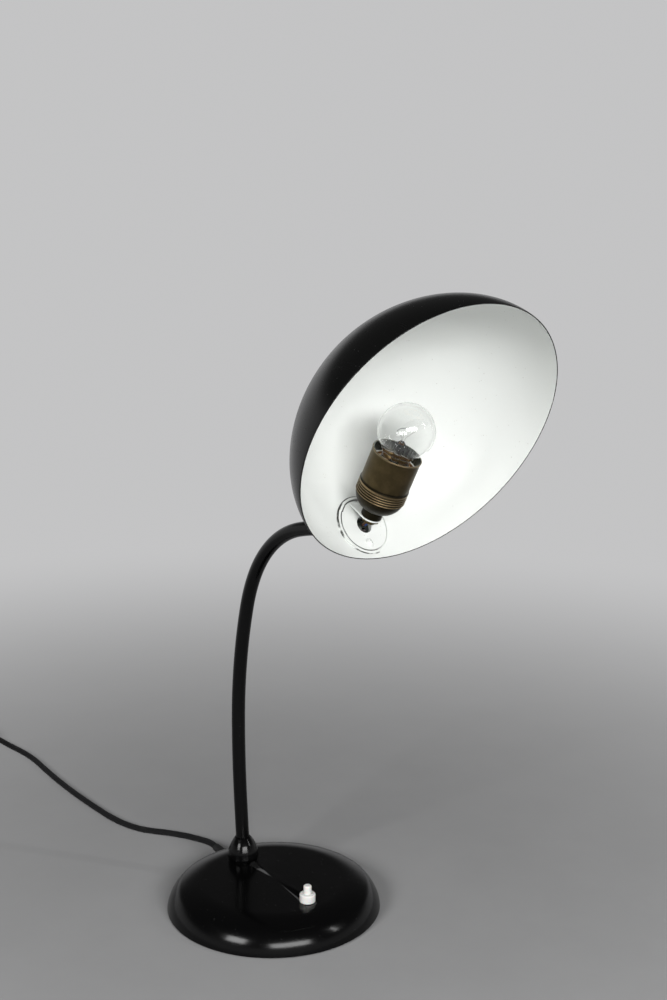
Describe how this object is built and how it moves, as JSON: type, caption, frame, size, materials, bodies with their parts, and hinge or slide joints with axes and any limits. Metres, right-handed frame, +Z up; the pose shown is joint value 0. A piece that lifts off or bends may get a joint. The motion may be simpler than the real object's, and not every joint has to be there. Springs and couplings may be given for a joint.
{
  "type": "desk lamp",
  "caption": "Black metal desk lamp: round weighted base with a push button, bent tube arm and a deep round shade on a ball joint, with a clear bulb and a tied cord.",
  "frame": {"origin": "centre of the base on the surface that the lamp stands on", "axes": "+Z up; the shade hangs in front of the base towards -Y; the arm's foot is at the back, towards +Y; +X to the right seen from the front"},
  "size_m": [0.2873, 0.8474, 0.5673],
  "materials": {
    "black_enamel": "gloss",
    "shade_enamel": "satin gloss, white inside",
    "white_enamel": "satin",
    "zinc_steel": "plain",
    "tungsten": "dark",
    "cast_iron": "as cast",
    "felt": "felt",
    "ivory_plastic": "gloss",
    "black_plastic": "moulded",
    "black_rubber": "moulded",
    "aged_brass": "dark patina",
    "brass": "plain",
    "porcelain": "glazed",
    "clear_glass": "clear",
    "blue_lead": "insulation",
    "brown_lead": "insulation",
    "leads": "insulation",
    "cord_black": "woven sleeve"
  },
  "bodies": {
    "base": {"base_cover": "black_enamel", "base_plate": "zinc_steel", "felt_pad": "felt", "base_weight": "cast_iron", "base_stud": "zinc_steel", "base_washer": "zinc_steel", "base_nut": "zinc_steel", "switch_housing": "black_plastic", "switch_collar": "ivory_plastic", "switch_spring": "zinc_steel", "switch_contacts": "brass", "switch_screws": "brass", "base_leads": "leads", "cord_grommet": "black_rubber", "cord_tail": "cord_black", "cord_saddle": "black_plastic", "cord_strap": "black_plastic", "clamp_bolts": "zinc_steel", "cord_run": "cord_black", "cord_coil": "cord_black", "coil_tie": "black_plastic", "cord_end": "cord_black", "plug_body": "black_plastic", "plug_pins": "brass"},
    "button": {"switch_button": "ivory_plastic"},
    "arm": {"arm_tube": "black_enamel", "arm_collar": "black_enamel", "foot_washer": "zinc_steel", "foot_nut": "zinc_steel", "arm_sleeve": "brass", "arm_leads": "leads"},
    "ball": {"ball_stud": "zinc_steel", "snap_ring": "zinc_steel", "ball_leads": "leads"},
    "head": {"shade": "shade_enamel", "ball_cup": "shade_enamel", "seat_ring": "white_enamel", "cup_rivets": "zinc_steel", "socket_bracket": "white_enamel", "clamp_screw": "zinc_steel", "socket_nipple": "aged_brass", "nipple_nut": "aged_brass", "socket_collar": "aged_brass", "socket_cap": "aged_brass", "socket_shell": "aged_brass", "socket_insert": "porcelain", "socket_sleeve": "brass", "socket_ring": "porcelain", "socket_contact": "brass", "socket_screws": "brass", "bulb_glass": "clear_glass", "bulb_cap": "brass", "bulb_insulator": "black_plastic", "bulb_tip": "brass", "bulb_stem": "clear_glass", "bulb_wires": "zinc_steel", "bulb_filament": "tungsten", "head_lead_blue": "blue_lead", "head_lead_brown": "brown_lead"}
  },
  "joints": [
    {"name": "button_press", "type": "slide", "parent": "base", "child": "button", "axis": [0, 0, -1], "range_m": [0, 0.0035], "stiffness_N_per_m": 500, "springref_m": -0.003, "deforming": ["switch_spring"]},
    {"name": "arm_swivel", "type": "hinge", "parent": "base", "child": "arm", "pos_m": [0, 0.0516, 0.0258], "axis": [0, 0, 1], "range_deg": [-165, 165]},
    {"name": "shade_swivel", "type": "hinge", "parent": "arm", "child": "ball", "pos_m": [0, -0.11912, 0.37466], "axis": [0, 0.9891, -0.147], "range_deg": [-165, 165]},
    {"name": "shade_tilt", "type": "hinge", "parent": "ball", "child": "head", "pos_m": [0, -0.11912, 0.37466], "axis": [1, 0, 0], "range_deg": [-9, 64]}
  ]
}
